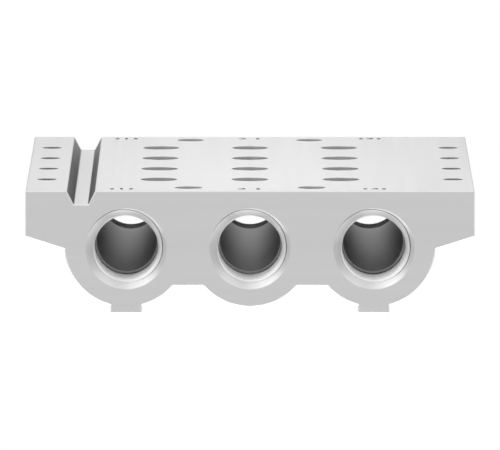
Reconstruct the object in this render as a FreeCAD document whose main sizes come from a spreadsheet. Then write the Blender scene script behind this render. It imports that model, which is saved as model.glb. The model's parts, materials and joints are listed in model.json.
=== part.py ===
# Pneumatic manifold rail: one aluminium extrusion, milled, drilled and ready for tapping.
# Frame: +X to the right, +Y along the rail from its front end to its back end, +Z up.
# The origin is under the middle of the rail, at the level of its two feet.
import FreeCAD, Part
import Sketcher
from FreeCAD import Vector

import math
import os

SIZES = {
    # Outline of the extrusion
    "rail_length": 170,
    "rail_width": 130.5,
    "overall_height": 35.7,
    "side_height": 13.4,
    "underside_slope": 17.5,
    "lobe_radius": 17.9,
    "lobe_clearance": 1.8,
    "web_height": 7.95,
    "foot_width": 9,
    "corner_radius": 0.4,
    "end_chamfer": 0.3,
    # Guide groove along the left of the top face
    "groove_offset": 49.1,
    "groove_mouth": 8.3,
    "groove_floor": 4.3,
    "groove_depth": 3.9,
    # Three stepped galleries, a little below the middles of the lobes, tapped at both ends
    "gallery_spacing": 36,
    "gallery_drop": 0.9,
    "gallery_diameter": 17.6,
    "tapping_diameter": 18.6,
    "tapping_depth": 22.7,
    "mouth_diameter": 23.6,
    # Rows of valve ports and of blind holes for the valves' screws in the top face
    "row_pitch": 33,
    "port_spacing": 26.7,
    "port_diameter": 10.7,
    "port_depth": 18,
    "fixing_spacing": 59.5,
    "fixing_diameter": 5.6,
    "fixing_depth": 11,
    "drill_angle": 118,
    "hole_chamfer": 0.1,
    # Clearance holes through the webs, for the screws that hold the rail down
    "mounting_spacing": 35.8,
    "mounting_margin": 10.5,
    "mounting_diameter": 7.9,
}
ROWS = 4
GALLERIES = 3

# Height of the lobes' middles above the feet
LOBE_LEVEL = "Sizes.lobe_radius + Sizes.lobe_clearance"

# Points of a sketch element, and the sketch's own axes
START, END, CENTRE = range(1, 4)
HORIZONTAL_AXIS, VERTICAL_AXIS = -1, -2
ORIGIN = (-1, 1)

document = FreeCAD.newDocument("manifold_rail")

sheet = document.addObject("Spreadsheet::Sheet", "Sizes")
for row, (alias, size) in enumerate(SIZES.items(), start=1):
    sheet.set(f"A{row}", alias)
    sheet.set(f"B{row}", str(size))
    sheet.setAlias(f"B{row}", alias)

body = document.addObject("PartDesign::Body", "ManifoldRail")
body.Label = "manifold_rail"
document.recompute()


def origin_feature(role):
    """The body's own plane or axis with this role."""
    return next(item for item in body.Origin.OriginFeatures if item.Role == role)


def new_sketch(name, plane):
    """A sketch flat on one of the body's own planes."""
    sketch = body.newObject("Sketcher::SketchObject", name)
    sketch.AttachmentSupport = [(origin_feature(plane), "")]
    sketch.MapMode = "FlatFace"
    return sketch


def dimension(sketch, kind, elements, value, expression):
    """One driving size of a sketch, bound to the sheet."""
    index = sketch.addConstraint(Sketcher.Constraint(kind, *elements, value))
    sketch.setExpression(f"Constraints[{index}]", expression)


def relate(sketch, kind, *elements):
    """One geometric relation of a sketch."""
    sketch.addConstraint(Sketcher.Constraint(kind, *elements))


def line(first, last):
    """A straight edge between two points of a sketch."""
    return Part.LineSegment(Vector(*first, 0), Vector(*last, 0))


def arc(centre, radius, first, last):
    """A round edge that runs counterclockwise from one point to another."""
    angles = [math.atan2(y - centre[1], x - centre[0]) for x, y in (first, last)]
    if angles[1] < angles[0]:
        angles[1] += math.tau
    circle = Part.Circle(Vector(*centre, 0), Vector(0, 0, 1), radius)
    return Part.ArcOfCircle(circle, *angles)


def close_chain(sketch, edges):
    """Adds edges that follow one another, and joins each to the next."""
    for edge in edges:
        sketch.addGeometry(edge, False)
    for index in range(len(edges)):
        relate(sketch, "Coincident", index, END, (index + 1) % len(edges), START)


def section_sketch():
    """The extrusion's section, drawn counterclockwise from its top right corner."""
    side = SIZES["rail_width"] / 2
    top = SIZES["overall_height"]
    side_foot = top - SIZES["side_height"]
    radius = SIZES["lobe_radius"]
    level = radius + SIZES["lobe_clearance"]
    offset = SIZES["gallery_spacing"]
    slope = math.radians(SIZES["underside_slope"])
    half_foot = SIZES["foot_width"] / 2
    foot_top = level - math.sqrt(radius**2 - half_foot**2)
    web = SIZES["web_height"]
    half_web = math.sqrt(radius**2 - (level - web) ** 2)

    # The sloping underside runs from the side's lower edge into the outer lobe.
    reach = side - offset
    drop = side_foot - level
    along = reach * math.cos(slope) + drop * math.sin(slope)
    across = drop * math.cos(slope) - reach * math.sin(slope)
    length = along - math.sqrt(radius**2 - across**2)
    joint_x = side - length * math.cos(slope)
    joint_z = side_foot - length * math.sin(slope)

    groove = -SIZES["groove_offset"]
    half_mouth = SIZES["groove_mouth"] / 2
    half_floor = SIZES["groove_floor"] / 2
    floor = top - SIZES["groove_depth"]

    corners = [
        (side, top),
        (groove + half_mouth, top),
        (groove + half_floor, floor),
        (groove - half_floor, floor),
        (groove - half_mouth, top),
        (-side, top),
        (-side, side_foot),
        (-joint_x, joint_z),
        (-offset - half_foot, foot_top),
        (-offset - half_foot, 0),
        (-offset + half_foot, 0),
        (-offset + half_foot, foot_top),
        (-offset + half_web, web),
        (-half_web, web),
        (half_web, web),
        (offset - half_web, web),
        (offset - half_foot, foot_top),
        (offset - half_foot, 0),
        (offset + half_foot, 0),
        (offset + half_foot, foot_top),
        (joint_x, joint_z),
        (side, side_foot),
    ]
    arc_centres = {7: -offset, 11: -offset, 13: 0, 15: offset, 19: offset}
    edges = []
    for index, first in enumerate(corners):
        last = corners[(index + 1) % len(corners)]
        if index in arc_centres:
            edges.append(arc((arc_centres[index], level), radius, first, last))
        else:
            edges.append(line(first, last))

    sketch = new_sketch("Section", "XZ_Plane")
    close_chain(sketch, edges)
    for index in (0, 2, 4, 9, 12, 14, 17):
        relate(sketch, "Horizontal", index)
    for index in (5, 8, 10, 16, 18, 21):
        relate(sketch, "Vertical", index)
    for index in (11, 13, 15, 19):
        relate(sketch, "Equal", 7, index)
    relate(sketch, "Coincident", 7, CENTRE, 11, CENTRE)
    relate(sketch, "Coincident", 15, CENTRE, 19, CENTRE)
    relate(sketch, "PointOnObject", 13, CENTRE, VERTICAL_AXIS)
    relate(sketch, "Horizontal", 7, CENTRE, 13, CENTRE)
    relate(sketch, "Horizontal", 13, CENTRE, 15, CENTRE)
    relate(sketch, "Horizontal", 0, START, 4, END)
    relate(sketch, "Horizontal", 5, END, 21, START)
    relate(sketch, "Horizontal", 12, START, 14, START)
    relate(sketch, "PointOnObject", 9, START, HORIZONTAL_AXIS)
    relate(sketch, "PointOnObject", 17, START, HORIZONTAL_AXIS)

    dimension(sketch, "Radius", (7,), radius, "Sizes.lobe_radius")
    dimension(sketch, "DistanceY", (*ORIGIN, 13, CENTRE), level, LOBE_LEVEL)
    dimension(sketch, "DistanceX", (7, CENTRE, 13, CENTRE), offset, "Sizes.gallery_spacing")
    dimension(sketch, "DistanceX", (13, CENTRE, 15, CENTRE), offset, "Sizes.gallery_spacing")
    dimension(sketch, "DistanceY", (*ORIGIN, 12, START), web, "Sizes.web_height")
    dimension(sketch, "DistanceY", (*ORIGIN, 0, START), top, "Sizes.overall_height")
    dimension(sketch, "DistanceX", (*ORIGIN, 0, START), side, "Sizes.rail_width / 2")
    dimension(sketch, "DistanceX", (4, END, *ORIGIN), side, "Sizes.rail_width / 2")
    dimension(sketch, "DistanceY", (5, END, 5, START), top - side_foot, "Sizes.side_height")
    dimension(sketch, "Angle", (6,), -slope, "-Sizes.underside_slope * 1 deg")
    dimension(sketch, "Angle", (20,), slope, "Sizes.underside_slope * 1 deg")
    for foot, lobe in ((9, 7), (17, 15)):
        dimension(sketch, "DistanceX", (foot, START, foot, END), 2 * half_foot, "Sizes.foot_width")
        dimension(sketch, "DistanceX", (foot, START, lobe, CENTRE), half_foot, "Sizes.foot_width / 2")
    for edge, width, alias in ((1, half_floor, "floor"), (0, half_mouth, "mouth")):
        dimension(
            sketch,
            "DistanceX",
            (edge, END, *ORIGIN),
            -groove - width,
            f"Sizes.groove_offset - Sizes.groove_{alias} / 2",
        )
    dimension(sketch, "DistanceX", (2, END, 1, END), 2 * half_floor, "Sizes.groove_floor")
    dimension(sketch, "DistanceX", (4, START, 0, END), 2 * half_mouth, "Sizes.groove_mouth")
    dimension(sketch, "DistanceY", (1, END, 1, START), top - floor, "Sizes.groove_depth")
    return sketch


def gallery_sketch():
    """Half the section of the left gallery, above its own axis."""
    end = SIZES["rail_length"] / 2
    mouth = SIZES["mouth_diameter"] / 2
    tapping = SIZES["tapping_diameter"] / 2
    gallery = SIZES["gallery_diameter"] / 2
    chamfer = end - (mouth - tapping)
    shoulder = end - SIZES["tapping_depth"]
    front_half = [
        (-end, 0),
        (-end, mouth),
        (-chamfer, tapping),
        (-shoulder, tapping),
        (-shoulder, gallery),
    ]
    back_half = [(-x, y) for x, y in reversed(front_half)]
    corners = front_half + back_half

    sketch = new_sketch("GallerySection", "YZ_Plane")
    sketch.setExpression("AttachmentOffset.Base.z", "-Sizes.gallery_spacing")
    sketch.setExpression("AttachmentOffset.Base.y", f"{LOBE_LEVEL} - Sizes.gallery_drop")
    close_chain(sketch, [line(a, b) for a, b in zip(corners, corners[1:] + corners[:1])])
    for index in (0, 3, 5, 8):
        relate(sketch, "Vertical", index)
    for index in (2, 4, 6):
        relate(sketch, "Horizontal", index)
    relate(sketch, "PointOnObject", 9, START, HORIZONTAL_AXIS)
    relate(sketch, "PointOnObject", 9, END, HORIZONTAL_AXIS)
    relate(sketch, "Symmetric", 0, END, 7, END, VERTICAL_AXIS)
    relate(sketch, "Symmetric", 2, START, 6, END, VERTICAL_AXIS)
    relate(sketch, "Equal", 2, 6)
    dimension(sketch, "DistanceX", (0, START, *ORIGIN), end, "Sizes.rail_length / 2")
    dimension(sketch, "DistanceY", (0, START, 0, END), mouth, "Sizes.mouth_diameter / 2")
    dimension(sketch, "DistanceY", (*ORIGIN, 2, START), tapping, "Sizes.tapping_diameter / 2")
    dimension(sketch, "DistanceY", (*ORIGIN, 4, START), gallery, "Sizes.gallery_diameter / 2")
    dimension(
        sketch,
        "DistanceX",
        (1, START, 1, END),
        mouth - tapping,
        "(Sizes.mouth_diameter - Sizes.tapping_diameter) / 2",
    )
    dimension(sketch, "DistanceX", (0, END, 2, END), end - shoulder, "Sizes.tapping_depth")
    return sketch


def circle_sketch(name, diameter, centres):
    """Equal circles in the top face, at centres given as sizes and their expressions."""
    sketch = new_sketch(name, "XY_Plane")
    sketch.setExpression("AttachmentOffset.Base.z", "Sizes.overall_height")
    radius = SIZES[diameter] / 2
    for index, ((x, x_size), (y, y_size)) in enumerate(centres):
        circle = Part.Circle(Vector(x, y, 0), Vector(0, 0, 1), radius)
        sketch.addGeometry(circle, False)
        if index:
            relate(sketch, "Equal", 0, index)
        else:
            dimension(sketch, "Diameter", (0,), 2 * radius, f"Sizes.{diameter}")
        for kind, place, size in (("DistanceX", x, x_size), ("DistanceY", y, y_size)):
            if place > 0:
                dimension(sketch, kind, (*ORIGIN, index, CENTRE), place, size)
            elif place < 0:
                dimension(sketch, kind, (index, CENTRE, *ORIGIN), -place, size)
            else:
                axis = VERTICAL_AXIS if kind == "DistanceX" else HORIZONTAL_AXIS
                relate(sketch, "PointOnObject", index, CENTRE, axis)
    return sketch


def add_extrusion():
    """The plain extrusion, the same all along the rail, with its corners rounded by the die."""
    pad = body.newObject("PartDesign::Pad", "Extrusion")
    pad.Profile = section_sketch()
    pad.Midplane = True
    pad.setExpression("Length", "Sizes.rail_length")
    document.recompute()
    fillet = body.newObject("PartDesign::Fillet", "DieCorners")
    fillet.Base = (pad, edge_names(pad, lambda low, high: high.y - low.y > 1))
    fillet.setExpression("Radius", "Sizes.corner_radius")
    document.recompute()


def add_end_chamfer():
    """Breaks the sharp outline that sawing and milling leave round both end faces."""
    last = body.Tip
    chamfer = body.newObject("PartDesign::Chamfer", "EndEdges")
    chamfer.Base = (last, edge_names(last, lambda low, high: high.y - low.y < 1e-6))
    chamfer.setExpression("Size", "Sizes.end_chamfer")


def edge_names(feature, wanted):
    """Names of a feature's edges, picked by the lowest and highest corner of their boxes."""
    names = []
    for number, edge in enumerate(feature.Shape.Edges, start=1):
        box = edge.BoundBox
        low = Vector(box.XMin, box.YMin, box.ZMin)
        high = Vector(box.XMax, box.YMax, box.ZMax)
        if wanted(low, high):
            names.append(f"Edge{number}")
    return names


def add_row_pattern(name, feature, axis, spacing, count):
    """Repeats one feature in a straight row."""
    pattern = body.newObject("PartDesign::LinearPattern", name)
    pattern.Originals = [feature]
    pattern.Direction = (origin_feature(axis), [""])
    pattern.setExpression("Length", f"Sizes.{spacing} * {count - 1}")
    pattern.Occurrences = count
    body.Tip = pattern


def add_galleries():
    """Three galleries side by side, from end to end of the rail."""
    sketch = gallery_sketch()
    groove = body.newObject("PartDesign::Groove", "Gallery")
    groove.Profile = sketch
    groove.ReferenceAxis = (sketch, ["H_Axis"])
    groove.Angle = 360
    document.recompute()
    add_row_pattern("Galleries", groove, "X_Axis", "gallery_spacing", GALLERIES)


def add_hole(name, sketch, diameter):
    """Holes drilled down from the circles of a sketch, each with a lightly broken edge."""
    document.recompute()
    hole = body.newObject("PartDesign::Hole", name)
    hole.Profile = sketch
    hole.HoleCutType = "Countersink"
    hole.setExpression("Diameter", f"Sizes.{diameter}")
    hole.setExpression("HoleCutDiameter", f"Sizes.{diameter} + 2 * Sizes.hole_chamfer")
    hole.HoleCutCountersinkAngle = 90
    return hole


def add_drilled_rows(name, columns, spacing, diameter, depth):
    """One row of drilled holes across the rail, repeated for each valve."""
    first_row = -SIZES["row_pitch"] * (ROWS - 1) / 2
    row_size = f"Sizes.row_pitch * {ROWS - 1} / 2"
    column_size = f"Sizes.{spacing}"
    centres = [
        ((column * SIZES[spacing], column_size), (first_row, row_size))
        for column in columns
    ]
    sketch = circle_sketch(f"{name}Row", diameter, centres)
    hole = add_hole(name, sketch, diameter)
    hole.DepthType = "Dimension"
    hole.DrillPoint = "Angled"
    hole.setExpression("Depth", f"Sizes.{depth}")
    hole.setExpression("DrillPointAngle", "Sizes.drill_angle")
    document.recompute()
    add_row_pattern(f"{name}Rows", hole, "Y_Axis", "row_pitch", ROWS)


def add_mounting_holes():
    """Four clearance holes, straight down through the webs between the galleries."""
    across = SIZES["mounting_spacing"] / 2
    along = SIZES["rail_length"] / 2 - SIZES["mounting_margin"]
    across_size = "Sizes.mounting_spacing / 2"
    along_size = "Sizes.rail_length / 2 - Sizes.mounting_margin"
    centres = [
        ((x * across, across_size), (y * along, along_size))
        for x in (-1, 1)
        for y in (-1, 1)
    ]
    sketch = circle_sketch("MountingCircles", "mounting_diameter", centres)
    hole = add_hole("MountingHoles", sketch, "mounting_diameter")
    hole.DepthType = "ThroughAll"


def cut(step, *args):
    """Makes one cutting step, and makes sure that it took metal away."""
    before = body.Shape.Volume
    step(*args)
    document.recompute()
    if not body.Shape.Volume < before - 1:
        raise RuntimeError(f"{step.__name__} {args[:1]} cut nothing")


add_extrusion()
cut(add_end_chamfer)
cut(add_galleries)
cut(add_drilled_rows, "ValvePorts", (-1, 0, 1), "port_spacing", "port_diameter", "port_depth")
cut(add_drilled_rows, "ValveFixings", (-1, 1), "fixing_spacing", "fixing_diameter", "fixing_depth")
cut(add_mounting_holes)

for item in document.Objects:
    failed = {"Invalid", "Error"} & set(item.State)
    if failed:
        raise RuntimeError(f"{item.Name} is {sorted(failed)}")
if body.Shape.isNull() or not body.Shape.isValid() or len(body.Shape.Solids) != 1:
    raise RuntimeError(f"{body.Label} is not one valid solid")

os.makedirs("parts", exist_ok=True)
body.Shape.exportStep(f"parts/{body.Label}.step")
box = body.Shape.BoundBox
print(f"{body.Label}: {box.XLength:.1f} x {box.YLength:.1f} x {box.ZLength:.1f} mm")
print(f"volume {body.Shape.Volume / 1000:.1f} cm3, {len(body.Shape.Faces)} faces")
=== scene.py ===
# Pneumatic manifold rail: its threads, engraved numbers and surface finishes, some with painted shade and
# painted light, and the studio and camera.
# Lengths are in metres, in the frame of the imported model, unless a name ends in MM or PX.
import json
import math

import bmesh
import bpy
from mathutils import Matrix, Vector


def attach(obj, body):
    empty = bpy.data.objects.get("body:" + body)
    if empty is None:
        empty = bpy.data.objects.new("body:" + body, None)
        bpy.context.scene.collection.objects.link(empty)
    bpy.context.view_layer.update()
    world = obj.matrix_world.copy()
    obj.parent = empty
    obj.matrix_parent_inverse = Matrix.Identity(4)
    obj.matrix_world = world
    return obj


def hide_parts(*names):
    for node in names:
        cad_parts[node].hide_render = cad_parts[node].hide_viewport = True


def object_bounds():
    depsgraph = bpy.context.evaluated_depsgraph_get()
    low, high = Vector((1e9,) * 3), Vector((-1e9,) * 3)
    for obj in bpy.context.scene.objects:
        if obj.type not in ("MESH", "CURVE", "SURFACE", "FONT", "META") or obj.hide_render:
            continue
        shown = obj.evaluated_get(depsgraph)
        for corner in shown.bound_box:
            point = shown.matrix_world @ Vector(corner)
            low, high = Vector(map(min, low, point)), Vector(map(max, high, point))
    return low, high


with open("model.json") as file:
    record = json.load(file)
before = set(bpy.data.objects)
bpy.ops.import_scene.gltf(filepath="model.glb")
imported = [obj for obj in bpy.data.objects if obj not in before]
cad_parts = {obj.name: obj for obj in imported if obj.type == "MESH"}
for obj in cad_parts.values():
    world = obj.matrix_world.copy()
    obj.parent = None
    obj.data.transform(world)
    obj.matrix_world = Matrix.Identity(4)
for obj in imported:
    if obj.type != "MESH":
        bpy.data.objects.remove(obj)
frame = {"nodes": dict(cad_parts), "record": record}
cad_low, cad_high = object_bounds()
rail = frame["nodes"]["manifold_rail"]
mounts = {mount["name"]: mount for mount in frame["record"]["mounts"]}

MM = 0.001

# Mouths of the three galleries: a 45 degree chamfer that leads to a tapped wall
mouths = {name: mount for name, mount in mounts.items() if name.startswith("gallery_")}
gallery_axes = sorted({(mount["pos_m"][0], mount["pos_m"][2]) for mount in mouths.values()})
tapped_wall = mouths["gallery_middle_front"]
crest_radius = tapped_wall["dims"]["r_mm"] * MM
wall_length = tapped_wall["dims"]["length_mm"] * MM
wall_start = tapped_wall["pos_m"][1] - wall_length / 2 - cad_low[1]
mouth_radius = crest_radius + wall_start
tapping_depth = wall_start + wall_length

# Camera: a very long lens, a little above the rail
PIXELS_PER_METRE = 3443.0
FRAME_WIDTH_PX = 500.0
FOCAL_PX = 13212.0
SENSOR_MM = 36.0
ELEVATION = math.radians(5.693)
TOP_EDGE_ABOVE_AXIS_PX = 33.98
CLIP_START = 0.05
CLIP_END = 200

# Pipe thread G 1/2, right-handed, in the six mouths
THREAD_PITCH = 1.814 * MM
THREAD_MAJOR_RADIUS = 10.478 * MM
THREAD_FLANK = math.radians(27.5)
THREAD_ROOT_WIDTH = 0.3 * MM
THREAD_STEPS = 60
# Its depth under the end face at its start, at its end, and where its first turn passes the mouth's bottom
THREAD_START = 0.6 * MM
THREAD_END = 18.6 * MM
THREAD_DEPTH_BELOW = 2.37 * MM
# Turns over which it runs out, and the share of its height that is left in the end
THREAD_RUN_OUT = 0.75
THREAD_LAST_HEIGHT = 0.05
# Threads and steps of the back mouths start three quarters of a turn later
BACK_TURN = math.radians(270)

# Shallow spiral step that leads into the thread, in degrees clockwise from the right: where it starts at
# the mouth's rim, has its full size, begins to wind inwards, has wound inwards, and ends
STEP_START = -157
STEP_FULL = -127
STEP_INWARDS = -109
STEP_INMOST = 101
STEP_END = 149
# Its depth, half the width of its slanted wall, and how far it winds inwards
STEP_DEPTH = 0.55 * MM
STEP_WALL = 0.28 * MM
STEP_FALL = 2.1 * MM
# Share of its size at its start, and the share that it loses on its way inwards
STEP_FIRST_SIZE = 0.05
STEP_SHRINK = 0.25
# How many times its depth its cutter stands out of the chamfer, on the inner side
STEP_CLEAR = 2

# How far the cutters of threads and steps reach into the open mouth, and its lowest point in degrees
CUTTER_REACH = 0.3 * MM
MOUTH_BOTTOM = 90
# Points of a mesh that lie closer together than this become one
MERGE_DISTANCE = 1e-7

# Reach of the tests that tell the rail's surfaces apart, and the guide groove's middle and half width
NEAR = 0.05 * MM
EDGE_WIDTH = 0.3 * MM
HOLE_EDGE = 0.45 * MM
GROOVE_REACH = 4.5 * MM
GROOVE_MIDDLE = -49.1 * MM
GROOVE_SPAN = 4.6 * MM
# Share of a face's normal along an axis: square to it, a chamfer or shoulder in a gallery, a broken edge
# of an end face, and a side of the groove
SQUARE = 0.99
SHOULDER = 0.5
END_EDGE = 0.3
LOOKS_UP = 0.2

# Edges that turn by more than this look sharp, and large faces lead the shading of smooth ones
SHARP_ANGLE = math.radians(22)
NORMAL_WEIGHT = 80

# Engraved marks near both ends of the top face
MARK_MARGIN = 6.4 * MM
MARK_DEPTH = 0.25 * MM
DIGIT_SIZE = 5.4 * MM
DIGIT_WEIGHT = 0.12 * MM
DIGIT_STEPS = 4
TICK_WIDTH = 1.1 * MM
TICK_LENGTH = 3.2 * MM
TICK_STEPS = 8
# For each digit, the places of its strokes and its own place across the rail
MARKS_MM = {"1": ((-40.1, -34.6), -37.4), "2": ((2.35,), -2.3), "3": ((33.6, 39.0), 36.3)}

# Finish of each kind of surface: reflectance, roughness, and the contrast and scale of its streaks. Some
# reflectances paint shade, as marked below.
# Most are drawn out along the strokes of the tool or the die: their scale is per metre along X, Y
# and Z, or along the radius in a turned mouth.
FINISHES = {
    "milled_end": (0.85, 0.5, 0.008, (9, 9, 420)),
    "drawn_skin": (0.895, 0.5, 0.01, (700, 5, 700)),
    "broken_edge": (0.93, 0.5, 0.01, (60, 60, 60)),
    "groove_edge": (0.98, 0.5, 0.01, (60, 60, 60)),
    # painted shade: the groove's sides far darker than the same drawn skin on top, for the shade inside
    # the groove
    "groove_side": (0.165, 0.5, 0.04, (500, 5, 500)),
    # painted shade: the groove's floor darker than the drawn skin in the middle of the top, for the shade
    # inside the groove
    "groove_floor": (0.8, 0.5, 0.01, (700, 5, 700)),
    "turned_mouth": (0.95, 0.32, 0.02, 2500),
    # painted shade: the step's slanted wall much darker than the turned chamfer, for the shade in its
    # crease
    "step_wall": (0.42, 0.5, 0.02, 2500),
    "cut_thread": (0.94, 0.5, 0.03, 2500),
    "bored_wall": (0.61, 0.6, 0.04, (40, 1500, 40)),
    "drilled_hole": (0.71, 0.5, 0.04, (60, 60, 1500)),
    "tapped_hole": (0.42, 0.5, 0.04, (60, 60, 1500)),
    # painted shade: the engraved marks much darker than the metal round them, for the shade inside them
    "punched_mark": (0.2, 0.6, 0.1, (900, 900, 900)),
}
# Painted shade and painted light in a finish's tone across the rail, from its middle to both sides, or
# along it,
# from front to back: axis, where the change starts, where it ends, and the share of the reflectance there
PAINTED_FADES = {
    # painted shade: the top's skin darker towards both sides and towards the back, where the light falls
    # off
    "drawn_skin": (("X", 15 * MM, 65 * MM, 0.88), ("Y", -40 * MM, 85 * MM, 0.93)),
    # painted light: the groove's sides about twice as light at the back end as at the front
    "groove_side": (("Y", 10 * MM, 85 * MM, 2.1),),
    # painted shade: the threads darker from the front end to the back end, for the shade in the back
    # mouths
    "cut_thread": (("Y", -60 * MM, 60 * MM, 0.22),),
}
# Rounding that the edges show, the height and detail of the streaks, and how far they change the roughness
EDGE_RADIUS = 0.08 * MM
STREAK_HEIGHT = 0.002 * MM
STREAK_DETAIL = 3
ROUGHNESS_SPREAD = 0.02
# Most of a noise's values lie between these two
NOISE_LOW, NOISE_HIGH = 0.3, 0.7

# Light from all round, and soft panels: azimuth from +X towards +Y, elevation and half width in degrees,
# and strength
ROOM_LIGHT = 0.55
PANELS = (
    (90, 6, 9, 3.9),
    (210, 60, 35, 0.75),
    (225, 30, 35, 0.6),
    (210, -55, 35, 0.3),
    (330, -55, 35, 0.35),
    (315, 30, 35, 0.5),
    (0, -90, 24, 2.9),
    (172, -50, 26, 1.8),
    (6, -40, 26, 1.1),
    (330, 60, 35, 0.3),
    (270, -55, 35, 0.3),
)
WHITE = (1, 1, 1, 1)
FLOOR_SIZE = 20


def chamfer_depth(radius):
    """How deep the mouth's 45 degree chamfer lies at some radius."""
    return mouth_radius - radius


def polar(radius, depth, degrees):
    """A point in a mouth: degrees run clockwise from the right, depth runs inwards from the end face."""
    angle = math.radians(degrees)
    return Vector((radius * math.cos(angle), depth, -radius * math.sin(angle)))


def sweep(mesh, loops):
    """Joins closed loops of points, one after the other, and closes both ends."""
    rings = [[mesh.verts.new(point) for point in loop] for loop in loops]
    count = len(rings[0])
    for first, second in zip(rings, rings[1:]):
        for index in range(count):
            after = (index + 1) % count
            mesh.faces.new((first[index], first[after], second[after], second[index]))
    mesh.faces.new(list(reversed(rings[0])))
    mesh.faces.new(rings[-1])


def thread_loops():
    """Section of the thread's groove at each step of its helix."""
    inner = crest_radius - CUTTER_REACH
    first_turn = (THREAD_START - THREAD_DEPTH_BELOW) / THREAD_PITCH
    last_turn = (THREAD_END - THREAD_DEPTH_BELOW) / THREAD_PITCH
    steps = round((last_turn - first_turn) * THREAD_STEPS)
    loops = []
    for step in range(steps + 1):
        turn = first_turn + step / THREAD_STEPS
        depth = THREAD_DEPTH_BELOW + turn * THREAD_PITCH
        share = min(1.0, max((last_turn - turn) / THREAD_RUN_OUT, THREAD_LAST_HEIGHT))
        height = (THREAD_MAJOR_RADIUS - crest_radius) * share
        root = THREAD_ROOT_WIDTH / 2
        mouth = root + height * math.tan(THREAD_FLANK)
        degrees = MOUTH_BOTTOM + 360 * turn
        section = [
            (inner, -mouth),
            (crest_radius, -mouth),
            (crest_radius + height, -root),
            (crest_radius + height, root),
            (crest_radius, mouth),
            (inner, mouth),
        ]
        loops.append([polar(radius, depth + across, degrees) for radius, across in section])
    return loops


def step_loops():
    """Section of the shallow step that leads from the chamfer's rim into the thread."""
    inner = crest_radius - CUTTER_REACH
    loops = []
    for degrees in range(STEP_START, STEP_END + 1, 360 // THREAD_STEPS):
        share = min(1.0, max(0.0, (degrees - STEP_INWARDS) / (STEP_INMOST - STEP_INWARDS)))
        grown = STEP_FIRST_SIZE + (degrees - STEP_START) / (STEP_FULL - STEP_START)
        size = min(1.0, grown) * (1 - STEP_SHRINK * share)
        edge = mouth_radius - STEP_FALL * share
        wall = STEP_WALL * size
        sink = STEP_DEPTH * size
        section = [
            (edge + wall, chamfer_depth(edge) - wall - sink),
            (edge - wall, chamfer_depth(edge) + wall + sink),
            (inner, chamfer_depth(inner) + sink),
            (inner, chamfer_depth(inner) - STEP_CLEAR * sink),
        ]
        loops.append([polar(radius, depth, degrees) for radius, depth in section])
    return loops


def add_tick(mesh, x, y):
    """A short engraved stroke with round ends, along the rail."""
    radius = TICK_WIDTH / 2
    reach = TICK_LENGTH / 2 - radius
    outline = []
    for end in (1, -1):
        for step in range(TICK_STEPS + 1):
            angle = math.pi * step / TICK_STEPS
            across = end * radius * math.cos(angle)
            along = end * (reach + radius * math.sin(angle))
            outline.append((x + across, y + along))
    levels = (cad_high[2] - MARK_DEPTH, cad_high[2] + MARK_DEPTH)
    sweep(mesh, [[Vector((*point, level)) for point in outline] for level in levels])


def add_digit(mesh, digit, x, y):
    """An engraved plain digit, read from the rail's front end."""
    curve = bpy.data.curves.new("digit", "FONT")
    curve.body = digit
    curve.size = DIGIT_SIZE
    curve.align_x = "CENTER"
    curve.align_y = "CENTER"
    curve.extrude = MARK_DEPTH
    curve.resolution_u = DIGIT_STEPS
    curve.offset = DIGIT_WEIGHT
    text = bpy.data.objects.new("digit", curve)
    text.location = (x, y, cad_high[2])
    bpy.context.collection.objects.link(text)
    bpy.context.view_layer.update()
    shape = bpy.data.meshes.new_from_object(text)
    shape.transform(text.matrix_world)
    mesh.from_mesh(shape)
    bpy.data.objects.remove(text)
    bpy.data.meshes.remove(shape)


def mesh_object(name, mesh, *materials):
    """Turns an edited mesh into a new object."""
    bmesh.ops.remove_doubles(mesh, verts=mesh.verts, dist=MERGE_DISTANCE)
    bmesh.ops.recalc_face_normals(mesh, faces=mesh.faces)
    data = bpy.data.meshes.new(name)
    mesh.to_mesh(data)
    mesh.free()
    for material in materials:
        data.materials.append(material)
    piece = bpy.data.objects.new(name, data)
    bpy.context.collection.objects.link(piece)
    return piece


def mouth_cutters(name, loops, metal):
    """One cutter in each of the six mouths: the back ones are the front ones turned half round."""
    mesh = bmesh.new()
    for mouth_name, mouth in mouths.items():
        x, _, z = mouth["pos_m"]
        if mouth_name.endswith("_front"):
            place = Matrix.Translation((x, cad_low[1], z))
        else:
            place = Matrix.Translation((x, cad_high[1], z)) @ Matrix.Rotation(math.pi, 4, "Z")
            place = place @ Matrix.Rotation(BACK_TURN, 4, "Y")
        sweep(mesh, [[place @ point for point in loop] for loop in loops])
    return mesh_object(name, mesh, metal)


def mark_cutters(metal):
    """The digits and strokes of both ends."""
    mesh = bmesh.new()
    for y in (cad_low[1] + MARK_MARGIN, cad_high[1] - MARK_MARGIN):
        for digit, (ticks, place) in MARKS_MM.items():
            add_digit(mesh, digit, place * MM, y)
            for x in ticks:
                add_tick(mesh, x * MM, y)
    return mesh_object("marks", mesh, metal)


def apply_modifiers(piece):
    """Replaces a piece's mesh by what its modifiers make of it."""
    bpy.context.view_layer.update()
    evaluated = piece.evaluated_get(bpy.context.evaluated_depsgraph_get())
    shape = bpy.data.meshes.new_from_object(evaluated)
    if not shape.polygons:
        raise RuntimeError(f"nothing is left of {piece.name}")
    piece.modifiers.clear()
    old = piece.data
    piece.data = shape
    bpy.data.meshes.remove(old)


def cut(piece, cutter):
    """Takes one shape out of another, leaves the cutter's finish on the cut, and deletes the cutter."""
    boolean = piece.modifiers.new("cut", "BOOLEAN")
    boolean.operation = "DIFFERENCE"
    boolean.solver = "EXACT"
    boolean.material_mode = "TRANSFER"
    boolean.object = cutter
    apply_modifiers(piece)
    bpy.data.objects.remove(cutter)


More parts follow.
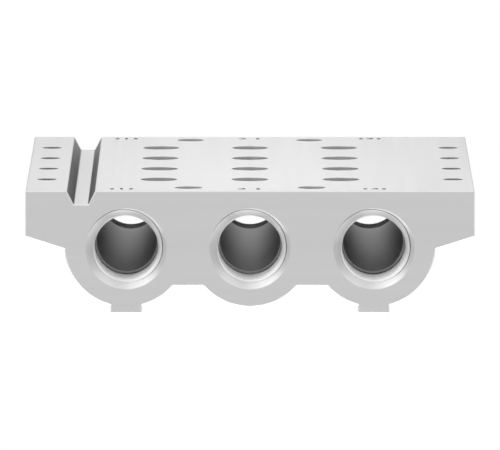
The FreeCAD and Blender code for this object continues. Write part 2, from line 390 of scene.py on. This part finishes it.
def add_node(tree, kind, inputs=None, **settings):
    """Adds a node, makes its settings, and feeds its inputs with values or with other nodes' outputs."""
    made = tree.nodes.new(kind)
    for name, value in settings.items():
        setattr(made, name, value)
    for key, value in (inputs or {}).items():
        if isinstance(value, bpy.types.NodeSocket):
            tree.links.new(value, made.inputs[key])
        else:
            made.inputs[key].default_value = value
    return made


def add_math(tree, operation, *values):
    """Adds one step of arithmetic and gives its result."""
    return add_node(tree, "ShaderNodeMath", dict(enumerate(values)), operation=operation).outputs[0]


def add_range(tree, value, start, end, first, last):
    """Turns a value that runs from start to end into one from first to last, and no further."""
    ends = {"From Min": start, "From Max": end, "To Min": first, "To Max": last}
    return add_node(tree, "ShaderNodeMapRange", {"Value": value, **ends}).outputs[0]


def distance_from_axis(tree, place):
    """Distance from the nearest gallery's axis."""
    spacing, level = gallery_axes[-1]
    parts = add_node(tree, "ShaderNodeSeparateXYZ", {0: place})
    across = add_math(tree, "WRAP", parts.outputs["X"], spacing / 2, -spacing / 2)
    height = add_math(tree, "SUBTRACT", parts.outputs["Z"], level)
    squares = add_math(tree, "ADD", add_math(tree, "POWER", across, 2), add_math(tree, "POWER", height, 2))
    return add_math(tree, "SQRT", squares)


def painted_fade(tree, place, axis, start, end, left):
    """Share of the reflectance that is left at some place across or along the rail: painted shade below
    one, painted light above one.
    """
    at = add_node(tree, "ShaderNodeSeparateXYZ", {0: place}).outputs[axis]
    if axis == "X":
        at = add_math(tree, "ABSOLUTE", at)
    return add_range(tree, at, start, end, 1, left)


def finish(name, reflectance, roughness, contrast, streaks):
    """Bare aluminium with the fine streaks that its tool left, lightly rounded edges, and in some finishes
    painted shade and painted light along or across the rail.
    """
    metal = bpy.data.materials.new(name)
    metal.use_nodes = True
    tree = metal.node_tree
    shader = tree.nodes["Principled BSDF"]
    place = add_node(tree, "ShaderNodeTexCoord").outputs["Object"]
    if isinstance(streaks, tuple):
        scaled = add_node(tree, "ShaderNodeVectorMath", {0: place, 1: streaks}, operation="MULTIPLY")
        pattern = scaled.outputs[0]
    else:
        pattern = add_math(tree, "MULTIPLY", distance_from_axis(tree, place), streaks)
    settings = {"Vector": pattern, "Scale": 1, "Detail": STREAK_DETAIL}
    noise = add_node(tree, "ShaderNodeTexNoise", settings).outputs["Fac"]
    low, high = reflectance * (1 - contrast), reflectance * (1 + contrast)
    shade = add_range(tree, noise, NOISE_LOW, NOISE_HIGH, low, high)
    low, high = roughness - ROUGHNESS_SPREAD, roughness + ROUGHNESS_SPREAD
    rough = add_range(tree, noise, NOISE_LOW, NOISE_HIGH, low, high)
    edge = add_node(tree, "ShaderNodeBevel", {"Radius": EDGE_RADIUS}).outputs[0]
    bump = add_node(tree, "ShaderNodeBump", {"Height": noise, "Distance": STREAK_HEIGHT, "Normal": edge})
    # painted shade and painted light along or across the rail
    for change in PAINTED_FADES.get(name, ()):
        shade = add_math(tree, "MULTIPLY", shade, painted_fade(tree, place, *change))
    tree.links.new(shade, shader.inputs["Base Color"])
    tree.links.new(rough, shader.inputs["Roughness"])
    tree.links.new(bump.outputs[0], shader.inputs["Normal"])
    shader.inputs["Metallic"].default_value = 1
    return metal


def hole_axes():
    """Centre, radius and finish of every hole in the top face."""
    axes = []
    for name, mount in mounts.items():
        x, y, _ = mount["pos_m"]
        dims = mount["dims"]
        if mount["kind"] == "bore":
            axes.append((x, y, dims["r_mm"] * MM, "drilled_hole"))
        elif mount["kind"] == "bolt_pattern":
            kind = "tapped_hole" if name.startswith("valve_") else "drilled_hole"
            across = dims["spacing_x_mm"] * MM / 2
            along = dims.get("spacing_y_mm", 0) * MM / 2
            for right, back in ((-1, -1), (-1, 1), (1, -1), (1, 1)):
                axes.append((x + right * across, y + back * along, dims["hole_r_mm"] * MM, kind))
    return axes


def surface_kind(centre, normal, holes):
    """Names the kind of surface that a face of the plain rail belongs to."""
    from_end = min(centre.y - cad_low[1], cad_high[1] - centre.y)
    from_axis = min(math.hypot(centre.x - x, centre.z - z) for x, z in gallery_axes)
    from_top = cad_high[2] - centre.z
    if from_end < NEAR and abs(normal.y) > SQUARE:
        return "milled_end"
    if from_axis < mouth_radius + NEAR and from_end < tapping_depth - NEAR:
        return "turned_mouth" if abs(normal.y) > SHOULDER else "cut_thread"
    if from_end < EDGE_WIDTH and abs(normal.y) > END_EDGE:
        in_groove = abs(centre.x - GROOVE_MIDDLE) < GROOVE_SPAN and NEAR < from_top < GROOVE_REACH
        return "groove_edge" if in_groove else "broken_edge"
    if from_axis < crest_radius:
        return "bored_wall"
    if abs(normal.z) < SQUARE:
        for x, y, radius, kind in holes:
            if math.hypot(centre.x - x, centre.y - y) < radius + HOLE_EDGE:
                return kind
    # The groove's floor and sides get finishes that paint the shade inside it.
    if centre.x < 0 and normal.z > LOOKS_UP and HOLE_EDGE < from_top < GROOVE_REACH:
        return "groove_floor" if normal.z > SQUARE else "groove_side"
    return "drawn_skin"


def machined_rail():
    """The rail with its threads and engraved marks cut in."""
    finishes = {name: finish(name, *values) for name, values in FINISHES.items()}
    order = list(finishes)
    holes = hole_axes()

    mesh = bmesh.new()
    mesh.from_mesh(rail.data)
    piece = mesh_object("rail_machined", mesh, *finishes.values())
    # The cuts change the mesh, so the normals that are stored with it go.
    piece.data.attributes.remove(piece.data.attributes["custom_normal"])
    for face in piece.data.polygons:
        face.material_index = order.index(surface_kind(face.center, face.normal, holes))

    cut(piece, mouth_cutters("steps", step_loops(), finishes["turned_mouth"]))
    # The walls that the steps leave get a darker finish, which paints the shade in the step's crease.
    for face in piece.data.polygons:
        if face.material_index == order.index("turned_mouth") and abs(face.normal.y) < SHOULDER:
            face.material_index = order.index("step_wall")
    cut(piece, mouth_cutters("threads", thread_loops(), finishes["cut_thread"]))
    # The marks are cut with a dark finish that paints the shade inside them.
    cut(piece, mark_cutters(finishes["punched_mark"]))
    return piece


def smooth_shading(piece):
    """Smooth shading between sharp edges, with the true normals of a cylinder in the galleries."""
    for polygon in piece.data.polygons:
        polygon.use_smooth = True
    piece.data.set_sharp_from_angle(angle=SHARP_ANGLE)
    weighted = piece.modifiers.new("normals", "WEIGHTED_NORMAL")
    weighted.keep_sharp = True
    weighted.weight = NORMAL_WEIGHT
    apply_modifiers(piece)
    mesh = piece.data
    normals = [corner.vector.copy() for corner in mesh.corner_normals]
    walls = {slot for slot, metal in enumerate(mesh.materials) if metal.name == "bored_wall"}
    for polygon in mesh.polygons:
        if polygon.material_index not in walls or abs(polygon.normal.y) > SHOULDER:
            continue
        for loop in polygon.loop_indices:
            point = mesh.vertices[mesh.loops[loop].vertex_index].co
            x, z = min(gallery_axes, key=lambda axis: math.hypot(point.x - axis[0], point.z - axis[1]))
            normals[loop] = Vector((x - point.x, 0, z - point.z)).normalized()
    mesh.normals_split_custom_set(normals)


def add_camera():
    """Places the camera from where the top front edge lies in the photograph."""
    view = Vector((0, math.cos(ELEVATION), -math.sin(ELEVATION)))
    up = Vector((0, math.sin(ELEVATION), math.cos(ELEVATION)))
    top_edge = Vector((0, cad_low[1], cad_high[2]))
    target = top_edge - up * TOP_EDGE_ABOVE_AXIS_PX / PIXELS_PER_METRE
    distance = FOCAL_PX / PIXELS_PER_METRE
    data = bpy.data.cameras.new("camera")
    data.sensor_width = SENSOR_MM
    data.lens = FOCAL_PX / FRAME_WIDTH_PX * SENSOR_MM
    data.clip_start = CLIP_START
    data.clip_end = CLIP_END
    camera = bpy.data.objects.new("camera", data)
    place = Matrix.Translation(target - view * distance)
    camera.matrix_world = place @ view.to_track_quat("-Z", "Y").to_matrix().to_4x4()
    bpy.context.collection.objects.link(camera)
    bpy.context.scene.camera = camera


def add_light():
    """White room light with the soft panels in it."""
    scene = bpy.context.scene
    scene.view_settings.view_transform = "Standard"
    scene.world = bpy.data.worlds.new("studio")
    scene.world.use_nodes = True
    tree = scene.world.node_tree
    direction = add_node(tree, "ShaderNodeTexCoord").outputs["Generated"]
    light = ROOM_LIGHT
    for azimuth, elevation, half_width, strength in PANELS:
        turn, rise = math.radians(azimuth), math.radians(elevation)
        centre = (math.cos(turn) * math.cos(rise), math.sin(turn) * math.cos(rise), math.sin(rise))
        near = add_node(tree, "ShaderNodeVectorMath", {0: direction, 1: centre}, operation="DOT_PRODUCT")
        rim = math.cos(math.radians(half_width))
        panel = add_range(tree, near.outputs["Value"], rim, 1, 0, strength)
        light = add_math(tree, "ADD", panel, light)
    tree.links.new(light, tree.nodes["Background"].inputs["Strength"])
    tree.nodes["Background"].inputs["Color"].default_value = WHITE


def add_floor():
    """A white floor that only the camera sees."""
    bpy.ops.mesh.primitive_plane_add(size=FLOOR_SIZE)
    floor = bpy.context.object
    floor.name = "floor"
    floor.visible_diffuse = False
    floor.visible_glossy = False
    floor.visible_shadow = False
    white = bpy.data.materials.new("floor")
    white.use_nodes = True
    tree = white.node_tree
    glow = add_node(tree, "ShaderNodeEmission")
    tree.links.new(glow.outputs[0], tree.nodes["Material Output"].inputs["Surface"])
    floor.data.materials.append(white)


add_camera()
finished = machined_rail()
smooth_shading(finished)
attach(finished, "root")
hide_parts("manifold_rail")
add_light()
add_floor()
